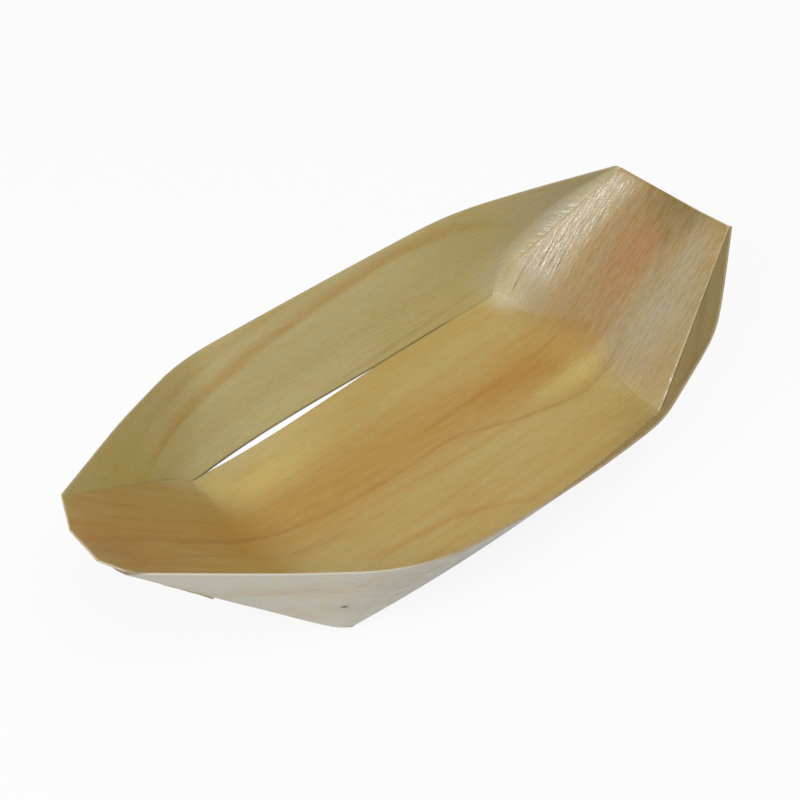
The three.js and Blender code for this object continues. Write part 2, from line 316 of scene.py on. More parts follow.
def put(tree, kind, inputs=None, **settings):
    """Adds a node with its settings, and gives each input a value or a link."""
    node = tree.nodes.new(kind)
    for name, value in settings.items():
        setattr(node, name, value)
    for key, value in (inputs or {}).items():
        if isinstance(value, bpy.types.NodeSocket):
            tree.links.new(value, node.inputs[key])
        else:
            node.inputs[key].default_value = value
    return node


def reckon(tree, operation, *values):
    return put(tree, "ShaderNodeMath", dict(enumerate(values)), operation=operation).outputs[0]


def ease(tree, value, low, high, start=0.0, stop=1.0):
    """Goes smoothly from start to stop as the value goes from low to high."""
    inputs = {"Value": value, "From Min": low, "From Max": high, "To Min": start, "To Max": stop}
    return put(tree, "ShaderNodeMapRange", inputs, interpolation_type="SMOOTHSTEP").outputs[0]


def dye(tree, share, under, over, mode="MIX"):
    """Lays one colour over another. A Mix node's colour sockets are 6, 7 and output 2."""
    mix = put(tree, "ShaderNodeMix", {0: share, 6: under, 7: over}, data_type="RGBA", blend_type=mode)
    return mix.outputs[2]


def stretched_noise(tree, vector, scale, detail, roughness=0.55):
    scaled = put(tree, "ShaderNodeVectorMath", {0: vector, 1: scale}, operation="MULTIPLY").outputs[0]
    inputs = {"Vector": scaled, "Scale": 1.0, "Detail": detail, "Roughness": roughness}
    return put(tree, "ShaderNodeTexNoise", inputs).outputs[0]


def grain_group(name, values, outputs):
    """Starts a node group that reads the grain and some values, and puts out masks."""
    tree = bpy.data.node_groups.new(name, "ShaderNodeTree")
    tree.interface.new_socket("Grain", in_out="INPUT", socket_type="NodeSocketVector")
    for socket in values:
        tree.interface.new_socket(socket, in_out="INPUT", socket_type="NodeSocketFloat")
    for socket in outputs:
        tree.interface.new_socket(socket, in_out="OUTPUT", socket_type="NodeSocketFloat")
    return tree, put(tree, "NodeGroupInput").outputs, put(tree, "NodeGroupOutput").inputs


# pine fibres: noises drawn out along the grain, each with its scale along and across the grain, its
# detail and its roughness, and the low and high values between which the sparse ones show
FIBRE_NOISES = {
    "Fibre": ((0.05, 1.3, 1.0), 5.0, 0.65),
    "Shimmer": ((0.30, 3.2, 1.0), 2.0, 0.55),
    "Mottle": ((0.016, 0.06, 1.0), 3.0, 0.55),
    "Speckle": ((0.40, 0.9, 1.0), 4.0, 0.7),
    "Polish": ((0.16, 1.3, 1.0), 4.0, 0.7),
    "Fleck": ((0.28, 0.45, 1.0), 4.0, 0.65),
    "Splinter": ((0.19, 0.95, 1.0), 3.0, 0.55),
    "Streaks": ((0.010, 0.26, 1.0), 4.0, 0.6),
    "Crack": ((0.05, 0.95, 1.0), 1.0, 0.55),
    "Ducts": ((0.22, 3.4, 1.0), 1.0, 0.55),
}
SPARSE_FIBRES = {"Streaks": (0.48, 0.68), "Crack": (0.66, 0.72), "Ducts": (0.66, 0.78)}
SEED_STEPS = (61.0, 17.0, 1.0)
FIBRE, given, gives = grain_group("pine_fibre", ["Seed"], FIBRE_NOISES)
shift = [reckon(FIBRE, "MULTIPLY", given["Seed"], step) for step in SEED_STEPS]
shift = put(FIBRE, "ShaderNodeCombineXYZ", dict(enumerate(shift))).outputs[0]
place = put(FIBRE, "ShaderNodeVectorMath", {0: given["Grain"], 1: shift}, operation="ADD").outputs[0]
for name, values in FIBRE_NOISES.items():
    fibre = stretched_noise(FIBRE, place, *values)
    if name in SPARSE_FIBRES:
        fibre = ease(FIBRE, fibre, *SPARSE_FIBRES[name])
    FIBRE.links.new(fibre, gives[name])

# a soft line along the grain, fading out at both ends: growth rings, cracks, and painted light and shade
RING_AND_LIGHT_GROUP, given, gives = grain_group(
    "ring_and_light_line", ["Line", "Wander", "Below", "Above", "Start", "Stop", "Fade"], ["Streak"]
)
along, over, _ = put(RING_AND_LIGHT_GROUP, "ShaderNodeSeparateXYZ", {0: given["Grain"]}).outputs
sway = stretched_noise(RING_AND_LIGHT_GROUP, given["Grain"], (0.07, 0.05, 1.0), 3.0)
sway = reckon(RING_AND_LIGHT_GROUP, "SUBTRACT", sway, 0.5)
line = reckon(RING_AND_LIGHT_GROUP, "MULTIPLY_ADD", sway, given["Wander"], given["Line"])
off = reckon(RING_AND_LIGHT_GROUP, "SUBTRACT", over, line)
below = ease(RING_AND_LIGHT_GROUP, reckon(RING_AND_LIGHT_GROUP, "DIVIDE", off, given["Below"]), -1.0, 0.0)
above = ease(RING_AND_LIGHT_GROUP, reckon(RING_AND_LIGHT_GROUP, "DIVIDE", off, given["Above"]), 0.0, 1.0, 1.0, 0.0)
past_start, past_stop = [
    reckon(RING_AND_LIGHT_GROUP, "DIVIDE", reckon(RING_AND_LIGHT_GROUP, "SUBTRACT", along, given[key]), given["Fade"])
    for key in ("Start", "Stop")
]
begun = ease(RING_AND_LIGHT_GROUP, past_start, -1.0, 1.0)
ended = ease(RING_AND_LIGHT_GROUP, past_stop, -1.0, 1.0, 1.0, 0.0)
patchy = stretched_noise(RING_AND_LIGHT_GROUP, given["Grain"], (0.05, 0.6, 1.0), 3.0)
streak = ease(RING_AND_LIGHT_GROUP, patchy, 0.3, 0.7, 0.6, 1.0)
for mask in (below, above, begun, ended):
    streak = reckon(RING_AND_LIGHT_GROUP, "MULTIPLY", streak, mask)
RING_AND_LIGHT_GROUP.links.new(streak, gives["Streak"])

# a cloudy patch: a stain of resin or a small knot, and also painted sheen, painted light and painted shade
STAIN_AND_LIGHT_GROUP, given, gives = grain_group("stain_and_light", ["Along", "Over", "Length", "Width", "Cloud"], ["Patch"])
along, over, _ = put(STAIN_AND_LIGHT_GROUP, "ShaderNodeSeparateXYZ", {0: given["Grain"]}).outputs
off_along = reckon(STAIN_AND_LIGHT_GROUP, "DIVIDE", reckon(STAIN_AND_LIGHT_GROUP, "SUBTRACT", along, given["Along"]), given["Length"])
off_over = reckon(STAIN_AND_LIGHT_GROUP, "DIVIDE", reckon(STAIN_AND_LIGHT_GROUP, "SUBTRACT", over, given["Over"]), given["Width"])
far = reckon(STAIN_AND_LIGHT_GROUP, "MULTIPLY_ADD", off_along, off_along, reckon(STAIN_AND_LIGHT_GROUP, "MULTIPLY", off_over, off_over))
far = reckon(STAIN_AND_LIGHT_GROUP, "SQRT", far)
cloud = reckon(STAIN_AND_LIGHT_GROUP, "SUBTRACT", stretched_noise(STAIN_AND_LIGHT_GROUP, given["Grain"], (0.09, 0.3, 1.0), 4.0), 0.5)
far = reckon(STAIN_AND_LIGHT_GROUP, "MULTIPLY_ADD", cloud, given["Cloud"], far)
STAIN_AND_LIGHT_GROUP.links.new(ease(STAIN_AND_LIGHT_GROUP, far, 0.0, 1.0, 1.0, 0.0), gives["Patch"])

# a band's line is drawn on a curve that reaches this far to either side of the grain's zero
CURVE_REACH = 50.0


def band_line(tree, along, points):
    """Place across the strip of a band's line, at every place along it."""
    first, last = points[0][0], points[-1][0]
    share = put(tree, "ShaderNodeMapRange", {"Value": along, "From Min": first, "From Max": last}).outputs[0]
    curve = put(tree, "ShaderNodeFloatCurve", {"Value": share})
    drawn = curve.mapping.curves[0].points
    places = [((u - first) / (last - first), (v / CURVE_REACH + 1) / 2) for u, v in points]
    drawn[0].location, drawn[1].location = places[0], places[-1]
    for place in places[1:-1]:
        drawn.new(*place)
    curve.mapping.update()
    return reckon(tree, "MULTIPLY_ADD", curve.outputs[0], 2 * CURVE_REACH, -CURVE_REACH)


def ring_and_light_band(tree, grain, along, points, wander, below, above, fade):
    inputs = {"Grain": grain, "Line": band_line(tree, along, points), "Wander": wander, "Below": below,
              "Above": above, "Start": points[0][0], "Stop": points[-1][0], "Fade": fade}
    return put(tree, "ShaderNodeGroup", inputs, node_tree=RING_AND_LIGHT_GROUP).outputs[0]


def stain_and_light_patch(tree, grain, along, over, length, width, cloud):
    inputs = {"Grain": grain, "Along": along, "Over": over, "Length": length, "Width": width, "Cloud": cloud}
    return put(tree, "ShaderNodeGroup", inputs, node_tree=STAIN_AND_LIGHT_GROUP).outputs[0]


# the shade of the fibres: the low and high values of each noise, and its share of a face's fibre depth
FIBRE_SHADES = {"Fibre": (0.25, 0.75, 1.0), "Shimmer": (0.2, 0.8, 0.5), "Speckle": (0.25, 0.75, 1.6)}
DUCT_SHADE = 0.97
FLECK_WARM = (1.03, 0.98, 0.86, 1.0)
FLECK_COOL = (0.97, 1.02, 1.14, 1.0)


def fibre_shade(tree, fibres, depth):
    """Colour to multiply the wood by: fine light and dark fibres, ducts, and warm and cool flecks."""
    shade = ease(tree, fibres["Ducts"], 0.0, 1.0, 1.0, DUCT_SHADE)
    for key, (low, high, share) in FIBRE_SHADES.items():
        swing = depth * share
        shade = reckon(tree, "MULTIPLY", shade, ease(tree, fibres[key], low, high, 1 - swing, 1 + swing))
    grey = put(tree, "ShaderNodeCombineColor", {0: shade, 1: shade, 2: shade}).outputs[0]
    fleck = dye(tree, ease(tree, fibres["Fleck"], 0.3, 0.7), FLECK_WARM, FLECK_COOL)
    return dye(tree, 1.0, grey, fleck, "MULTIPLY")


# a pale line is painted along the near cut edges of the upturned ends: how far in from the edge, and from
# where up
PALE_LINE_IN = (0.1, 0.5)
PALE_LINE_UP = (BOTTOM_LENGTH / 2 - 1, BOTTOM_LENGTH / 2 + 5)
NEAR_HALF = (-2.0, 2.0)


def pale_edge_line(tree, along, over, strength):
    margin = put(tree, "ShaderNodeAttribute", attribute_name="margin").outputs["Fac"]
    pale_line = ease(tree, margin, *PALE_LINE_IN, strength, 0.0)
    upturned = ease(tree, reckon(tree, "ABSOLUTE", along), *PALE_LINE_UP)
    near = ease(tree, over, *NEAR_HALF, 1.0, 0.0)
    return reckon(tree, "MULTIPLY", reckon(tree, "MULTIPLY", pale_line, upturned), near)


# how far the polish swings the roughness, and how high the shimmer and the lifted fibres stand
POLISH_SWING = (-0.12, 0.20)
SHIMMER_RELIEF = 0.6
LIFTED_RELIEF = 6.0
LIFTED_WANDER = 2.0
RELIEF = 0.12
# colours of the pale line painted along the near edges, of the painted glint on lifted fibres, and of cracks
PALE_EDGE_PINE = (0.640, 0.540, 0.360, 1.0)
GLINT = (0.760, 0.700, 0.580, 1.0)
CRACK = (0.140, 0.080, 0.030, 1.0)


def veneer_face(name, seed, pale, warm, streak, rings_and_light, stains_and_light=(), lifted_glints=(), matt=(), pale_edge=0.0,
                fibre_depth=0.03, gloss=0.28, bump=0.28):
    """One face of veneer: pale and warm wood, growth rings, stains, painted light and shade, fibres, satin
    gloss.
    """
    material = bpy.data.materials.new(name)
    material.use_nodes = True
    tree = material.node_tree
    shader = tree.nodes["Principled BSDF"]
    grain = put(tree, "ShaderNodeAttribute", attribute_name="grain").outputs["Vector"]
    along, over, _ = put(tree, "ShaderNodeSeparateXYZ", {0: grain}).outputs
    fibres = put(tree, "ShaderNodeGroup", {"Grain": grain, "Seed": seed}, node_tree=FIBRE).outputs
    colour = dye(tree, ease(tree, fibres["Mottle"], 0.36, 0.66), pale, warm)
    colour = dye(tree, reckon(tree, "MULTIPLY", fibres["Streaks"], streak[1]), colour, streak[0])
    # bands and patches: growth rings, stains and cracks, and also painted sheen, light and shade
    for *ring_and_light, tint, strength in rings_and_light:
        band = ring_and_light_band(tree, grain, along, *ring_and_light)
        colour = dye(tree, reckon(tree, "MULTIPLY", band, strength), colour, tint)
    for *stain_and_light, tint, strength in stains_and_light:
        patch = stain_and_light_patch(tree, grain, *stain_and_light)
        colour = dye(tree, reckon(tree, "MULTIPLY", patch, strength), colour, tint)
    if pale_edge:
        colour = dye(tree, pale_edge_line(tree, along, over, pale_edge), colour, PALE_EDGE_PINE)
    height = reckon(tree, "MULTIPLY_ADD", fibres["Shimmer"], SHIMMER_RELIEF, fibres["Fibre"])
    for points, below, above, fade in lifted_glints:
        loose = ring_and_light_band(tree, grain, along, points, LIFTED_WANDER, below, above, fade)
        # the glint of the lifted fibres is a painted highlight laid into the colour
        painted_glint = ease(tree, fibres["Splinter"], 0.54, 0.72, 0.0, 0.75)
        colour = dye(tree, reckon(tree, "MULTIPLY", loose, painted_glint), colour, GLINT)
        colour = dye(tree, reckon(tree, "MULTIPLY", loose, fibres["Crack"]), colour, CRACK)
        raised = reckon(tree, "MULTIPLY", loose, fibres["Splinter"])
        height = reckon(tree, "MULTIPLY_ADD", raised, LIFTED_RELIEF, height)
    colour = dye(tree, 1.0, colour, fibre_shade(tree, fibres, fibre_depth), "MULTIPLY")
    tree.links.new(colour, shader.inputs["Base Color"])
    rough = reckon(tree, "ADD", ease(tree, fibres["Polish"], 0.36, 0.62, *POLISH_SWING), gloss)
    for start, stop, rougher in matt:
        rough = reckon(tree, "ADD", rough, ease(tree, along, start, stop, rougher, 0.0))
    tree.links.new(rough, shader.inputs["Roughness"])
    shader.inputs["Specular IOR Level"].default_value = 1.0
    relief = put(tree, "ShaderNodeBump", {"Strength": bump, "Distance": RELIEF * MM, "Height": height})
    tree.links.new(relief.outputs[0], shader.inputs["Normal"])
    return material


def cut_edge(name, seed, light, dark, tints=()):
    """The knife-cut edge of the veneer: open pale end fibres with darker layers."""
    material = bpy.data.materials.new(name)
    material.use_nodes = True
    tree = material.node_tree
    shader = tree.nodes["Principled BSDF"]
    where = put(tree, "ShaderNodeTexCoord").outputs["Object"]
    grain = put(tree, "ShaderNodeAttribute", attribute_name="grain").outputs["Vector"]
    along = put(tree, "ShaderNodeSeparateXYZ", {0: grain}).outputs[0]
    layers = stretched_noise(tree, where, (900.0, 900.0, 5200.0), 2.0)
    ticks = stretched_noise(tree, grain, (0.25, 0.5, seed), 3.0)
    mean = reckon(tree, "MULTIPLY_ADD", layers, 0.5, reckon(tree, "MULTIPLY", ticks, 0.5))
    colour = dye(tree, ease(tree, mean, 0.35, 0.65), dark, light)
    for start, stop, strength, tint in tints:
        colour = dye(tree, ease(tree, along, start, stop, 0.0, strength), colour, tint)
    tree.links.new(colour, shader.inputs["Base Color"])
    tree.links.new(ease(tree, ticks, 0.3, 0.7, 0.62, 0.8), shader.inputs["Roughness"])
    relief = put(tree, "ShaderNodeBump", {"Strength": 0.4, "Distance": RELIEF / 2 * MM, "Height": layers})
    tree.links.new(relief.outputs[0], shader.inputs["Normal"])
    return material


ORANGE = (0.435, 0.190, 0.018, 1.0)
AMBER = (0.450, 0.230, 0.030, 1.0)
ROSE = (0.340, 0.196, 0.056, 1.0)
BLUSH = (0.420, 0.175, 0.050, 1.0)
RUST = (0.360, 0.165, 0.025, 1.0)
OLIVE = (0.230, 0.148, 0.026, 1.0)
GOLD = (0.520, 0.370, 0.095, 1.0)
STRAW = (0.555, 0.425, 0.135, 1.0)
# painted light: brightens the flat's stern corner on the port side, where the end and the wall shade it
CORNER_LIGHT = (0.680, 0.520, 0.160, 1.0)
CREAM = (0.570, 0.480, 0.220, 1.0)
# painted highlight: the glow at the foot of the bow's port margin
GLOW_HIGHLIGHT = (0.600, 0.530, 0.330, 1.0)
# pale wood with a painted sheen over it, on the bow
PEARL_SHEEN = (0.400, 0.325, 0.185, 1.0)
# pale wood with a painted highlight, along the bow's port margin
PALE_SHEEN = (0.515, 0.435, 0.280, 1.0)
SPLIT = (0.100, 0.050, 0.020, 1.0)

# growth rings, cracks and bands of painted sheen: places along and across the strip, how far the line
# wanders, how wide it is below and above, how it fades at its ends, its colour and its strength
BOTTOM_RINGS_AND_SHEEN = [
    ([(-128.0, 2.0), (-66.0, 0.0)], 4.0, 40.0, 40.0, 8.0, AMBER, 0.8),
    ([(66.0, 0.0), (140.0, 0.0)], 4.0, 60.0, 60.0, 8.0, ROSE, 0.95),
    ([(-80.0, 4.0), (0.0, 5.0), (66.0, 4.0)], 5.0, 24.0, 20.0, 14.0, AMBER, 0.85),
    ([(-62.0, 16.0), (-18.0, 18.0), (10.0, 20.0), (45.0, 22.0)], 1.5, 4.0, 1.5, 12.0, ORANGE, 0.25),
    ([(-66.0, 11.0), (-20.0, 12.5), (30.0, 11.0), (60.0, 13.0)], 2.0, 1.5, 2.5, 12.0, ORANGE, 0.15),
    ([(-90.0, 1.5), (-64.0, 1.0), (-40.0, -3.0), (-10.0, -4.0), (8.0, -4.4), (18.0, -8.0), (30.0, -12.0),
      (50.0, -16.0), (62.0, -15.0)], 1.2, 0.9, 2.0, 14.0, RUST, 0.55),
    ([(62.0, -15.0), (82.0, -12.5), (100.0, -10.5), (112.0, -6.0), (126.0, 1.0)],
     1.2, 1.2, 2.6, 10.0, OLIVE, 0.45),
    ([(0.0, 4.0), (30.0, 5.0), (50.0, 6.0), (64.0, 8.0)], 1.0, 0.9, 2.4, 12.0, RUST, 0.55),
    ([(-45.0, -24.0), (-34.0, -26.0), (-18.0, -28.0), (-6.0, -32.0), (6.0, -38.0)],
     0.6, 1.4, 2.8, 6.0, ORANGE, 0.5),
    ([(-62.0, -10.0), (-30.0, -9.0), (10.0, -12.0)], 1.5, 1.2, 2.0, 12.0, ORANGE, 0.25),
    ([(-110.0, -8.0), (-70.0, -7.0), (-40.0, -14.0)], 1.5, 1.2, 2.5, 14.0, RUST, 0.3),
    ([(-132.0, -1.0), (-112.0, 0.5), (-92.0, 0.0), (-66.0, 1.5)], 1.5, 1.2, 3.0, 6.0, RUST, 0.5),
    ([(-132.0, 7.0), (-112.0, 5.5), (-94.0, 5.0)], 1.5, 1.0, 2.2, 8.0, ORANGE, 0.5),
    ([(-124.0, 17.0), (-112.0, 16.5), (-98.0, 16.0)], 1.0, 0.8, 1.6, 6.0, RUST, 0.4),
    ([(-118.0, 11.0), (-96.0, 10.0), (-74.0, 11.5)], 1.5, 1.0, 2.4, 8.0, RUST, 0.25),
    ([(-50.0, -2.0), (0.0, -3.0), (34.0, -6.0)], 3.0, 6.0, 5.0, 14.0, ORANGE, 0.3),
    # painted sheen: pale streaks of highlight along the bow
    ([(70.0, -23.0), (124.0, -13.0)], 3.0, 1.5, 2.5, 10.0, PEARL_SHEEN, 0.5),
    ([(66.0, -10.0), (120.0, -8.0)], 3.0, 1.2, 2.5, 10.0, PEARL_SHEEN, 0.4),
    ([(72.0, 12.0), (120.0, 8.0)], 3.0, 1.5, 3.0, 10.0, PEARL_SHEEN, 0.5),
    # pale wood and painted highlight along the bow's port margin
    ([(64.0, 34.5), (76.0, 31.0), (92.0, 27.5), (109.0, 24.5), (126.0, 20.0)],
     2.0, 12.0, 14.0, 5.0, PALE_SHEEN, 0.95),
    ([(101.0, 23.2), (115.0, 22.6)], 0.4, 0.3, 0.3, 2.0, SPLIT, 0.9),
    ([(74.0, 32.0), (84.0, 33.0)], 0.4, 0.3, 0.3, 2.0, SPLIT, 0.9),
]

# stains and patches of painted sheen and light: place along and across, half length and half width,
# how cloudy, colour and strength
BOTTOM_STAINS_AND_LIGHT = [
    (40.0, 2.5, 38.0, 9.0, 0.8, ORANGE, 0.62),
    (102.0, 1.0, 26.0, 13.0, 0.8, BLUSH, 0.65),
    (124.0, -4.0, 20.0, 22.0, 0.6, OLIVE, 0.95),
    # painted sheen over the bow
    (88.0, -19.0, 34.0, 17.0, 0.5, PEARL_SHEEN, 0.95),
    (112.0, -17.0, 16.0, 8.0, 0.5, PEARL_SHEEN, 0.6),
    (80.0, 26.0, 30.0, 14.0, 0.5, PEARL_SHEEN, 0.6),
    # painted highlight at the foot of the bow's port margin
    (70.0, 35.0, 15.0, 11.0, 0.4, GLOW_HIGHLIGHT, 0.9),
    (-52.0, 34.0, 46.0, 9.0, 0.4, CREAM, 0.75),
    # painted light on the flat's stern corner on the port side, against the shade of the end and the wall
    (-60.5, 29.0, 7.0, 9.0, 0.2, CORNER_LIGHT, 0.45),
    (-52.0, 23.0, 20.0, 12.0, 0.3, CORNER_LIGHT, 0.35),
    (-40.0, 22.0, 30.0, 12.0, 0.4, CORNER_LIGHT, 0.25),
    (-124.0, -4.0, 24.0, 22.0, 0.5, ORANGE, 0.5),
    (54.0, -9.0, 24.0, 6.0, 0.5, STRAW, 0.85),
    (-126.0, -6.0, 16.0, 7.0, 0.5, OLIVE, 0.2),
    (-76.0, -11.0, 20.0, 7.0, 0.6, GOLD, 0.5),
]

# where the bow's margin is pressed over the port strip its fibres lift and crack, with painted glints
BOTTOM_LIFTED_GLINTS = [([(70.0, 33.0), (78.0, 31.5), (92.0, 27.5), (109.0, 24.0), (126.0, 20.0)], 12.0, 7.0, 5.0)]

# the stern and the flat are less polished than the bow: the places along between which each matt stretch
# runs out towards the bow, and how much rougher it is
BOTTOM_MATT = [(-105.0, -55.0, 0.12), (38.0, 70.0, 0.18)]

BOTTOM_OUTER_RINGS = [
    ([(-120.0, 5.0), (0.0, 4.0), (120.0, 7.0)], 4.0, 3.0, 6.0, 20.0, AMBER, 0.3),
    ([(-120.0, -12.0), (0.0, -14.0), (120.0, -11.0)], 4.0, 2.0, 5.0, 20.0, AMBER, 0.25),
]
rows = [bottom_column(lerp(STARBOARD, PORT, share)) for share in steps(BOTTOM_ACROSS)]
bottom_strip = bend_blank("bottom_strip_veneer", rows, lambda i, j: rows[i][j].y)
bottom_strip.data.materials.append(
    veneer_face("bottom_inner_pine", 1.0, pale=(0.480, 0.360, 0.116, 1.0), warm=(0.458, 0.315, 0.082, 1.0),
                streak=(ORANGE, 0.24), rings_and_light=BOTTOM_RINGS_AND_SHEEN, stains_and_light=BOTTOM_STAINS_AND_LIGHT, lifted_glints=BOTTOM_LIFTED_GLINTS,
                matt=BOTTOM_MATT, pale_edge=0.5, gloss=0.23)
)
bottom_strip.data.materials.append(
    veneer_face("bottom_outer_pine", 2.0, pale=(0.520, 0.460, 0.350, 1.0), warm=(0.500, 0.420, 0.290, 1.0),
                streak=(AMBER, 0.15), rings_and_light=BOTTOM_OUTER_RINGS)
)
bottom_strip.data.materials.append(
    cut_edge("bottom_cut_edge", 3.0, light=(0.560, 0.465, 0.295, 1.0), dark=(0.480, 0.380, 0.225, 1.0))
)
thicken(bottom_strip)
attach(bottom_strip, "root")
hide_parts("bottom_strip")


# Side strips: two straight strips of the same veneer. Each stands along one slit, folds up the corner
# panels at both ends and wraps behind the upturned ends, where it is glued in the lap.
STRIP_WIDTH = 35.0
WALL_RISE = 30.0
WALL_FLARE = 16.5
WALL_BEND_SPACING = 99.0

# how the foot of a strip stands at its slit, and how far its rim bows out
SLIT_GAP = {PORT: 0.03, STARBOARD: -0.2}
FOOT_LIFT = 0.25
CORNER_FOOT = 0.4
RIM_BOW = {PORT: 0.6, STARBOARD: 2.6}

# how far hand folding put each crease out of true at the rim, how far each corner panel swells, and how
# softly the creases turn
BEND_SHIFT = {
    (STERN, PORT): (-2.2, 0.0, -0.5),
    (STERN, STARBOARD): (2.8, 0.4, 1.4),
    (BOW, PORT): (5.7, -1.8, 3.0),
    (BOW, STARBOARD): (-4.8, -0.8, -3.3),
}
BELLY = {(STERN, PORT): 1.4, (STERN, STARBOARD): 0.8, (BOW, PORT): 0.5, (BOW, STARBOARD): 6.2}
BELLY_SOFTNESS = 0.2
CREASE_SOFT_FOOT = 1.4
CREASE_SOFT_RIM = {(STERN, PORT): 12.0, (STERN, STARBOARD): 17.0, (BOW, PORT): 14.0, (BOW, STARBOARD): 6.0}
MAX_ROUNDING = 0.45

# how far a strip's wrap crease stands off the edge of the upturned end: at the foot, the top and half way
WRAP_CLEARANCE = {
    (STERN, PORT): (0.1, 0.3, 0.0),
    (STERN, STARBOARD): (0.1, 0.35, 0.0),
    (BOW, PORT): (0.3, 0.7, 3.8),
    (BOW, STARBOARD): (0.15, 0.15, 0.0),
}
WRAP_SOFT = {(STERN, PORT): 0.5, (STERN, STARBOARD): 0.5, (BOW, PORT): 1.9, (BOW, STARBOARD): 0.5}

# how far up the upturned end the wrap creases reach, and how far up and across it the strips are cut off
CREASE_FOOT = 0.01
INNER_CREASE_TOP = {STERN: 0.984, BOW: 1.0}
OUTER_CREASE_TOP = {STERN: 0.985, BOW: 1.003}
INNER_STOP = {"foot": (0.44, -0.06), "top": (0.85, -0.1)}
OUTER_STOP = {"foot": (0.635, -0.98), "top": (0.8, -0.86)}

# the layers of a lap: their depth below the inner face, loose and pressed together, and where across the
# end they touch, where the outer strip steps over the inner one and where its cut end is pressed down
LAP_GAP = 0.45
LAYER = VENEER + LAP_GAP
TOUCH_GAP = 0.08
CONTACT = VENEER + TOUCH_GAP
CONTACT_FROM = 0.6
OUTER_STEP = (0.3, 0.8)
OUTER_PRESS = (0.55, 0.95)

# how far the wrap crease rises beside the cut edge that it hugs, and between which places across
TUCK = {
    (STERN, PORT): (0.28, 0.985, 1.004),
    (STERN, STARBOARD): (0.28, 0.985, 1.05),
    (BOW, PORT): (0.85, 0.93, 1.0),
    (BOW, STARBOARD): (0.28, 0.985, 1.004),
}
NORMAL_STEP = 0.01

# facets of a side strip's blank
SIDE_ACROSS = 32
FLAP_FACETS = 40
CREASE_FACETS = 8
PANEL_FACETS = 30
WALL_FACETS = 72

BENDS = {}
for end in ENDS:
    for side in SIDES:
        true_bend = Vector((end * WALL_BEND_SPACING / 2, side * (BOTTOM_WIDTH / 2 + WALL_FLARE), WALL_RISE))
        BENDS[end, side] = true_bend + Vector(BEND_SHIFT[end, side])


def tongue_point(end, height, across):
    return bent_point(end, height * slant_length(end, across), across)


def lapped_point(end, height, across, depth):
    """A face lying outside an upturned end, some depth below its inner face."""
    up = tongue_point(end, height + NORMAL_STEP, across) - tongue_point(end, height - NORMAL_STEP, across)
    over = tongue_point(end, height, across + NORMAL_STEP) - tongue_point(end, height, across - NORMAL_STEP)
    outward = over.cross(up).normalized() * end
    return tongue_point(end, height, across) + outward * depth


def wrap_clearance(end, side, rise):
    foot, top, middle = WRAP_CLEARANCE[end, side]
    return lerp(foot, top, rise) + middle * arch(rise)


def wrapped_point(end, side, is_outer, rise, share):
    """Inner face of a strip's wrapped end, from its crease (share 0) to its cut end (share 1)."""
    stop = OUTER_STOP if is_outer else INNER_STOP
    crease_top = OUTER_CREASE_TOP[end] if is_outer else INNER_CREASE_TOP[end]
    crease_height = lerp(CREASE_FOOT, crease_top, rise)
    half_width = abs(tongue_point(end, crease_height, side).y - tongue_point(end, crease_height, 0).y)
    edge = 1 + wrap_clearance(end, side, rise) / half_width
    height = lerp(crease_height, lerp(stop["foot"][0], stop["top"][0], rise), share)
    across = lerp(edge, lerp(stop["foot"][1], stop["top"][1], rise), share)
    depth = LAYER
    if is_outer:
        depth = LAYER * (2 - smooth(across, *OUTER_STEP))
        depth = lerp(depth, 2 * CONTACT, smooth(-across, *OUTER_PRESS))
    tuck, tuck_from, tuck_to = TUCK[end, side]
    depth = lerp(depth, CONTACT, smooth(across, CONTACT_FROM, 1)) - tuck * smooth(across, tuck_from, tuck_to)
    return lapped_point(end, height, side * across, depth)


def peak(share):
    top = math.hypot(1, BELLY_SOFTNESS)
    return (top - math.hypot(2 * share - 1, BELLY_SOFTNESS)) / (top - BELLY_SOFTNESS)


def side_row(side, outer_end, rise):
    """Inner face of a side strip at one share of its height, stern end to bow end."""
    creases = {}
    for end in ENDS:
        fold = FOLDS[end, side]
        foot = Vector((fold.x - end * CORNER_FOOT, fold.y + side * SLIT_GAP[side], FOOT_LIFT))
        creases[end] = foot.lerp(BENDS[end, side], rise)

    def swollen(start, stop, swell):
        def at(share):
            point = start.lerp(stop, share)
            point.y += side * swell(share)
            return point
        return at

    def wrapped(end):
        return lambda share: wrapped_point(end, side, outer_end == end, rise, share)

    def belly(end):
        return lambda share: BELLY[end, side] * rise * peak(share)

    def wall_bow(share):
        foot_bow = slit_bow(side, share) + slit_opening(side, share) / 2
        return lerp(foot_bow, RIM_BOW[side] * arch(share), rise)

    stern, bow = wrapped(STERN), wrapped(BOW)
    runs = [
        lambda share: stern(1 - share),
        swollen(stern(0), creases[STERN], belly(STERN)),
        swollen(creases[STERN], creases[BOW], wall_bow),
        swollen(creases[BOW], bow(0), belly(BOW)),
        bow,
    ]
    facets = [FLAP_FACETS, PANEL_FACETS, WALL_FACETS, PANEL_FACETS, FLAP_FACETS]
    crease = [lerp(CREASE_SOFT_FOOT, CREASE_SOFT_RIM[end, side], rise) for end in ENDS]
    wrap = [WRAP_SOFT[end, side] * wrap_clearance(end, side, rise) for end in ENDS]
    softness = [wrap[0], *crease, wrap[1]]
    lengths = [(run(1) - run(0)).length for run in runs]

    def trim(run, corner):
        return min(MAX_ROUNDING, softness[corner] / lengths[run])

    points = []
    last = len(runs) - 1
    for i, run in enumerate(runs):
        start = 0 if i == 0 else trim(i, i - 1)
        stop = 1 if i == last else 1 - trim(i, i)
        points += [run(lerp(start, stop, t)) for t in steps(facets[i])]
        if i < last:
            after = runs[i + 1](trim(i + 1, i))
            points += [quadratic(points[-1], run(1), after, t) for t in steps(CREASE_FACETS)[1:-1]]
    return points


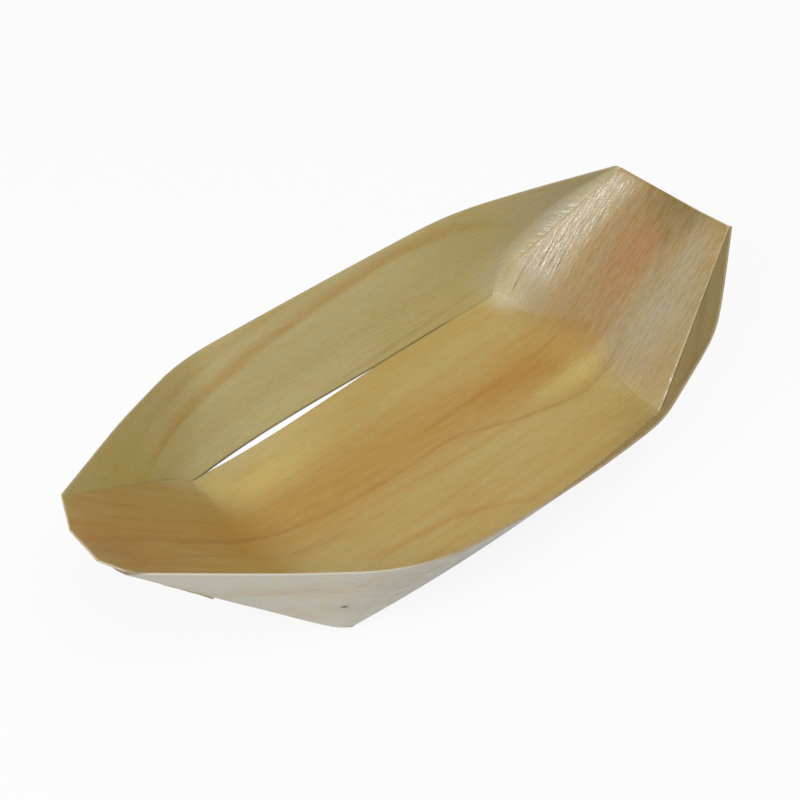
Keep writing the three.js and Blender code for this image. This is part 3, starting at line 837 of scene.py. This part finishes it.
def side_strip(name, side, outer_end):
    rows = [side_row(side, outer_end, rise) for rise in steps(SIDE_ACROSS)]
    if side == STARBOARD:
        for row in rows:
            row.reverse()
    return bend_blank(name, rows, lambda i, j: STRIP_WIDTH * i / SIDE_ACROSS)


HONEY = (0.475, 0.300, 0.072, 1.0)
TOFFEE = (0.470, 0.285, 0.062, 1.0)
MUSTARD = (0.490, 0.405, 0.110, 1.0)
MOSS = (0.460, 0.380, 0.155, 1.0)
# painted light: the foot of the port wall lit by light thrown up from the flat
BOUNCE_LIGHT = (0.590, 0.510, 0.255, 1.0)
# painted sheen at the foot of the port wall beside the bow
FOOT_SHEEN = (0.560, 0.500, 0.330, 1.0)
# painted sheen on the port wall beside the bow
WALL_SHEEN = (0.465, 0.415, 0.280, 1.0)
FOOT_SHADE = (0.080, 0.045, 0.018, 1.0)
PORT_RINGS_AND_LIGHT = [
    ([(-84.0, 14.4), (-70.0, 18.0), (-50.0, 21.5), (-30.0, 25.5), (-10.0, 28.0), (10.0, 30.0), (30.0, 31.0),
      (50.0, 29.5), (64.0, 27.0), (75.0, 22.0)], 1.0, 2.2, 4.4, 10.0, TOFFEE, 0.8),
    ([(-100.0, 25.0), (-70.0, 27.5), (-40.0, 31.0), (-10.0, 34.5)], 1.0, 2.4, 4.6, 14.0, HONEY, 0.4),
    # painted light at the foot of the wall, where the flat throws light up
    ([(-72.0, 4.0), (-30.0, 4.0), (10.0, 5.0)], 1.0, 6.0, 10.0, 10.0, BOUNCE_LIGHT, 0.6),
    ([(-64.0, 0.0), (44.0, 0.0)], 0.0, 1.0, 1.05, 5.0, FOOT_SHADE, 1.0),
    ([(-5.0, 2.4), (30.0, 3.6), (64.0, 5.4)], 0.8, 0.7, 1.4, 10.0, RUST, 0.3),
    ([(-70.0, 9.0), (-20.0, 12.0), (20.0, 13.0), (60.0, 11.0)], 1.5, 3.0, 4.0, 14.0, HONEY, 0.15),
]
PORT_STAINS_AND_SHEEN = [
    # painted sheen beside the bow, high and low
    (93.0, 20.0, 42.0, 42.0, 0.3, WALL_SHEEN, 0.9),
    (70.0, 6.0, 18.0, 16.0, 0.3, FOOT_SHEEN, 0.8),
    (60.0, 22.0, 34.0, 22.0, 0.3, MOSS, 0.55),
    (-95.0, 20.0, 36.0, 26.0, 0.3, MUSTARD, 0.75),
]
# lifted, cracked fibres at the bow lap, with painted glints
PORT_LIFTED_GLINTS = [([(76.0, 9.0), (84.0, 14.0), (92.0, 20.0), (100.0, 27.0)], 7.0, 6.0, 4.0)]
PORT_OUTER_RINGS = [
    ([(-110.0, 20.0), (0.0, 22.0), (110.0, 19.0)], 3.0, 3.0, 5.0, 20.0, AMBER, 0.3),
    ([(-110.0, 9.0), (0.0, 8.0), (110.0, 10.0)], 3.0, 2.0, 3.0, 20.0, AMBER, 0.2),
]
port_strip = side_strip("port_side_veneer", PORT, STERN)
port_strip.data.materials.append(
    veneer_face("port_inner_pine", 4.0, pale=(0.540, 0.455, 0.205, 1.0), warm=(0.526, 0.432, 0.184, 1.0),
                streak=(HONEY, 0.12), rings_and_light=PORT_RINGS_AND_LIGHT, stains_and_light=PORT_STAINS_AND_SHEEN, lifted_glints=PORT_LIFTED_GLINTS,
                fibre_depth=0.022)
)
port_strip.data.materials.append(
    veneer_face("port_outer_pine", 5.0, pale=(0.520, 0.465, 0.360, 1.0), warm=(0.500, 0.430, 0.310, 1.0),
                streak=(AMBER, 0.15), rings_and_light=PORT_OUTER_RINGS)
)
port_strip.data.materials.append(
    cut_edge("port_cut_edge", 6.0, light=(0.480, 0.400, 0.260, 1.0), dark=(0.400, 0.310, 0.180, 1.0))
)
thicken(port_strip)
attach(port_strip, "root")
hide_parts("port_side_strip")

CHALK = (0.610, 0.580, 0.480, 1.0)
STONE = (0.480, 0.445, 0.350, 1.0)
OAT = (0.560, 0.480, 0.320, 1.0)
PEACH = (0.490, 0.350, 0.205, 1.0)
# painted shadow in the gap at the stern corner
CORNER_SHADOW = (0.340, 0.260, 0.190, 1.0)
# painted shade over a broad stretch of the outer face
OUTER_WALL_SHADE = (0.255, 0.205, 0.120, 1.0)
LAP_SHADE = (0.090, 0.040, 0.020, 1.0)
KNOT_HALO = (0.400, 0.290, 0.190, 1.0)
KNOT_BARK = (0.060, 0.030, 0.020, 1.0)
KNOT_HEART = (0.015, 0.008, 0.006, 1.0)
PALER_EDGE = (0.700, 0.660, 0.560, 1.0)
LAP_EDGE_SHADE = (0.230, 0.130, 0.080, 1.0)
KNOT = (68.0, 14.6)
STARBOARD_RINGS = [
    ([(-110.0, 22.0), (0.0, 24.0), (110.0, 21.0)], 3.0, 3.0, 4.0, 20.0, OLIVE, 0.4),
    ([(-110.0, 10.0), (0.0, 9.0), (110.0, 12.0)], 3.0, 2.0, 4.0, 20.0, AMBER, 0.3),
]
# painted shade in the gap where the stern's edge meets the strip's top
STARBOARD_INNER_SHADE = [(126.0, 34.0, 8.0, 7.0, 0.2, LAP_SHADE, 0.95)]
STARBOARD_OUTER_RINGS_AND_SHADE = [
    ([(61.0, 34.0), (65.0, 28.0), (68.0, 25.0), (72.0, 24.0), (82.0, 24.5), (100.0, 24.0), (115.0, 24.0)],
     0.6, 1.9, 3.4, 3.0, PEACH, 0.65),
    # painted shadow along the gap at the stern corner
    ([(101.0, 23.0), (108.0, 26.0), (116.0, 29.5), (124.0, 34.0)], 0.6, 1.6, 1.6, 3.0, CORNER_SHADOW, 0.3),
    ([(89.0, 4.0), (95.0, 11.0), (99.0, 17.0), (102.0, 22.0)], 0.6, 1.5, 2.5, 5.0, AMBER, 0.12),
    ([(-100.0, 18.0), (-30.0, 20.0), (40.0, 16.0)], 2.0, 2.0, 4.0, 20.0, AMBER, 0.2),
]
STARBOARD_OUTER_STAINS_AND_SHADE = [
    (71.0, 4.0, 18.0, 10.0, 0.3, CHALK, 0.8),
    (102.0, 18.0, 18.0, 18.0, 0.3, STONE, 0.8),
    (74.0, 22.0, 14.0, 8.0, 0.3, OAT, 0.5),
    # painted shade over a broad stretch of the outer face
    (24.0, 17.0, 50.0, 44.0, 0.3, OUTER_WALL_SHADE, 0.9),
    (*KNOT, 4.0, 3.0, 0.5, KNOT_HALO, 0.35),
    (*KNOT, 1.7, 1.2, 0.3, KNOT_BARK, 1.0),
    (*KNOT, 1.1, 0.8, 0.0, KNOT_HEART, 1.0),
]

# the cut edge turns paler towards the stern, and painted shade darkens it in the lap: the places along
# between which each tint comes in, and how strong it gets
STARBOARD_EDGE_TINTS = [(35.0, 70.0, 0.7, PALER_EDGE), (119.0, 124.0, 0.75, LAP_EDGE_SHADE)]
starboard_strip = side_strip("starboard_side_veneer", STARBOARD, BOW)
starboard_strip.data.materials.append(
    veneer_face("starboard_inner_pine", 7.0, pale=(0.385, 0.310, 0.150, 1.0), warm=(0.355, 0.275, 0.120, 1.0),
                streak=(OLIVE, 0.2), rings_and_light=STARBOARD_RINGS, stains_and_light=STARBOARD_INNER_SHADE)
)
starboard_strip.data.materials.append(
    veneer_face("starboard_outer_pine", 8.0, pale=(0.532, 0.498, 0.392, 1.0), warm=(0.512, 0.460, 0.335, 1.0),
                streak=(AMBER, 0.06), rings_and_light=STARBOARD_OUTER_RINGS_AND_SHADE, stains_and_light=STARBOARD_OUTER_STAINS_AND_SHADE,
                fibre_depth=0.012, gloss=0.36, bump=0.22)
)
starboard_strip.data.materials.append(
    cut_edge("starboard_cut_edge", 9.0, light=(0.400, 0.330, 0.205, 1.0), dark=(0.320, 0.245, 0.135, 1.0),
             tints=STARBOARD_EDGE_TINTS)
)
thicken(starboard_strip)
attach(starboard_strip, "root")
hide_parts("starboard_side_strip")


# Glue: four dabs of pale food-safe glue, pressed flat in the laps behind the upturned ends. They are
# squeezed between the layers, so they show only as cloudy films at the open edges of the laps.
GLUE_DARK = (0.70, 0.60, 0.40, 1.0)
GLUE_LIGHT = (0.78, 0.72, 0.55, 1.0)
BUBBLE_RELIEF = 0.05
glue = bpy.data.materials.new("pressed_glue")
glue.use_nodes = True
tree = glue.node_tree
shader = tree.nodes["Principled BSDF"]
where = put(tree, "ShaderNodeTexCoord").outputs["Object"]
cloud = stretched_noise(tree, where, (420.0, 420.0, 420.0), 4.0)
bubbles = put(tree, "ShaderNodeTexVoronoi", {"Vector": where, "Scale": 900.0}).outputs["Distance"]
tree.links.new(dye(tree, ease(tree, cloud, 0.3, 0.7), GLUE_DARK, GLUE_LIGHT), shader.inputs["Base Color"])
tree.links.new(ease(tree, cloud, 0.3, 0.7, 0.25, 0.45), shader.inputs["Roughness"])
relief = put(tree, "ShaderNodeBump", {"Strength": 0.3, "Distance": BUBBLE_RELIEF * MM, "Height": bubbles})
tree.links.new(relief.outputs[0], shader.inputs["Normal"])
for name in ("stern_inner_glue", "stern_outer_glue", "bow_inner_glue", "bow_outer_glue"):
    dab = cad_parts[name]
    dab.data.materials.clear()
    dab.data.materials.append(glue)


# Floor: a plain sheet of white paper that the boat stands on. It looks white to the eye and keeps the
# boat's soft shadow.
FLOOR_SIZE = 4.0
FLOOR_GAP = 0.2
PAPER_DARK = (0.80, 0.80, 0.80, 1.0)
PAPER_LIGHT = (0.82, 0.82, 0.82, 1.0)
SEEN_WHITE = 0.88
bpy.ops.object.select_all(action="DESELECT")
bpy.ops.mesh.primitive_plane_add(size=FLOOR_SIZE, location=(0.0, 0.0, cad_low.z - FLOOR_GAP * MM))
floor = bpy.context.object
floor.name = "floor"
bpy.ops.object.transform_apply(location=True)
paper = bpy.data.materials.new("white_paper")
paper.use_nodes = True
tree = paper.node_tree
shader = tree.nodes["Principled BSDF"]
where = put(tree, "ShaderNodeTexCoord").outputs["Object"]
tooth = stretched_noise(tree, where, (700.0, 700.0, 700.0), 2.0)
tree.links.new(dye(tree, tooth, PAPER_DARK, PAPER_LIGHT), shader.inputs["Base Color"])
shader.inputs["Roughness"].default_value = 0.9
light_path = put(tree, "ShaderNodeLightPath").outputs
seen = reckon(tree, "MAXIMUM", light_path["Is Camera Ray"], light_path["Is Glossy Ray"])
seen = reckon(tree, "MAXIMUM", seen, light_path["Is Transmission Ray"])
white = put(tree, "ShaderNodeEmission", {"Color": (1.0, 1.0, 1.0, 1.0), "Strength": 1.0}).outputs[0]
share = reckon(tree, "MULTIPLY", seen, SEEN_WHITE)
surface = put(tree, "ShaderNodeMixShader", {0: share, 1: shader.outputs[0], 2: white}).outputs[0]
tree.links.new(surface, tree.nodes["Material Output"].inputs["Surface"])
floor.data.materials.append(paper)


# Light: a pale room all round, a broad soft lamp above the near side, a weak window at the left, and a
# flash at the left that glances off the upturned end on the right.
ROOM_LEVEL = 0.34
world = bpy.data.worlds.new("pale_room")
bpy.context.scene.world = world
world.use_nodes = True
tree = world.node_tree
room = tree.nodes["Background"]
room.inputs["Color"].default_value = (1.0, 1.0, 1.0, 1.0)
is_seen = put(tree, "ShaderNodeLightPath").outputs["Is Camera Ray"]
room_light = put(tree, "ShaderNodeMapRange", {"Value": is_seen, "To Min": ROOM_LEVEL, "To Max": 1.0})
tree.links.new(room_light.outputs[0], room.inputs["Strength"])


def lamp(name, direction, distance, width, height, level):
    """A lamp facing the boat. Level is the brightness that it adds to a white face turned to it."""
    data = bpy.data.lights.new(name, "AREA")
    data.shape = "RECTANGLE"
    data.size = width
    data.size_y = height
    data.energy = level * (math.pi * distance) ** 2
    light = bpy.data.objects.new(name, data)
    bpy.context.scene.collection.objects.link(light)
    towards = Vector(direction).normalized()
    light.location = towards * distance
    light.rotation_euler = towards.to_track_quat("Z", "Y").to_euler()


lamp("broad_lamp", (0.10, -0.35, 0.93), distance=1.2, width=0.8, height=0.8, level=0.46)
lamp("window", (-0.86, 0.34, 0.39), distance=1.1, width=0.9, height=0.42, level=0.06)
lamp("flash", (-0.74, -0.06, 0.665), distance=1.1, width=0.60, height=0.24, level=0.36)


# Camera: the photograph's view, from above the near left corner, with the boat a little off the middle
# of the picture.
AZIMUTH, ELEVATION, ROLL = math.radians(-40.0), math.radians(48.17), math.radians(-0.3)
DISTANCE = 375.0
PICTURE = 800
FOCAL_PIXELS = 1177.0
CENTRE_RIGHT, CENTRE_DOWN = 26.4, 44.8
FILM_WIDTH = 36.0
level_back = Vector((math.sin(AZIMUTH), -math.cos(AZIMUTH), 0.0))
back = level_back * math.cos(ELEVATION) + Vector((0.0, 0.0, math.sin(ELEVATION)))
level_right = Vector((math.cos(AZIMUTH), math.sin(AZIMUTH), 0.0))
level_up = back.cross(level_right)
right = level_right * math.cos(ROLL) + level_up * math.sin(ROLL)
up = level_up * math.cos(ROLL) - level_right * math.sin(ROLL)
camera_data = bpy.data.cameras.new("photo_camera")
camera_data.sensor_width = FILM_WIDTH
camera_data.lens = FOCAL_PIXELS * FILM_WIDTH / PICTURE
camera_data.shift_x = -CENTRE_RIGHT / PICTURE
camera_data.shift_y = CENTRE_DOWN / PICTURE
camera_data.clip_start = 0.01
camera_data.clip_end = 20.0
camera = bpy.data.objects.new("photo_camera", camera_data)
bpy.context.scene.collection.objects.link(camera)
camera.location = back * (DISTANCE * MM)
camera.rotation_euler = Matrix((right, up, back)).transposed().to_euler()
bpy.context.scene.camera = camera
bpy.context.scene.view_settings.view_transform = "Standard"
